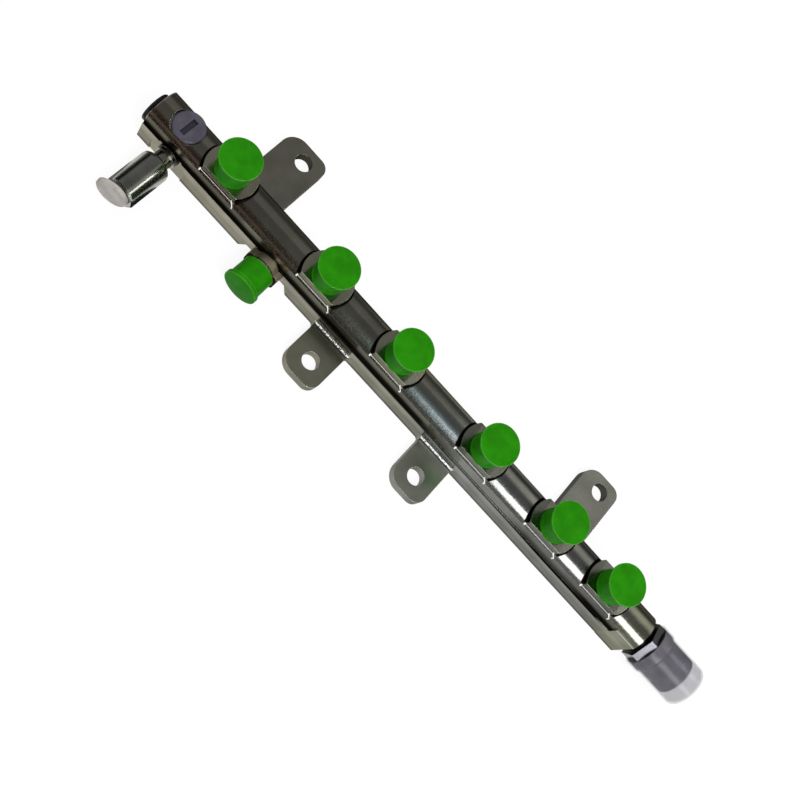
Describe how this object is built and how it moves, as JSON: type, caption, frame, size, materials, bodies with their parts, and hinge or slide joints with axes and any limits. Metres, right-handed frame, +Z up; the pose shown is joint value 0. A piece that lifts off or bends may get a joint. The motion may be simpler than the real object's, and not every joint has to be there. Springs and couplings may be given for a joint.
{
  "type": "fuel rail",
  "caption": "Forged steel common fuel rail with capped injector outlets, inlet and return unions, plate mounting tabs, end plugs and a capped pressure sensor.",
  "frame": {"origin": "on the flat underside, straight below the first outlet's axis and on the bar's centre plane", "axes": "+X along the bar towards the pressure sensor, +Y to the side away from the inlet and return union, +Z up along the outlets"},
  "size_m": [0.3773, 0.0959, 0.0403],
  "materials": {
    "plated_steel": "zinc-nickel plated forged steel, glossy, with an olive cast",
    "bright_steel": "turned and plated, bright",
    "green_plastic": "moulded green polyethylene, glossy",
    "black_plastic": "moulded black plastic",
    "smoke_plastic": "translucent grey-violet plastic",
    "white_plastic": "moulded off-white plastic",
    "clear_plastic": "thin translucent cap",
    "tin": "tin-plated terminals"
  },
  "bodies": {
    "root": {"rail_body": "plated_steel", "outlet_cap_1": "green_plastic", "outlet_cap_2": "green_plastic", "outlet_cap_3": "green_plastic", "outlet_cap_4": "green_plastic", "outlet_cap_5": "green_plastic", "outlet_cap_6": "green_plastic", "inlet_cap": "green_plastic", "return_union": "bright_steel", "union_sealing_ring": "bright_steel", "union_plug": "white_plastic", "end_plug": "black_plastic", "top_plug": "smoke_plastic", "sensor_sealing_ring": "black_plastic", "sensor_body": "bright_steel", "sensor_housing": "black_plastic", "sensor_terminals": "tin", "sensor_cap": "clear_plastic"}
  },
  "joints": []
}
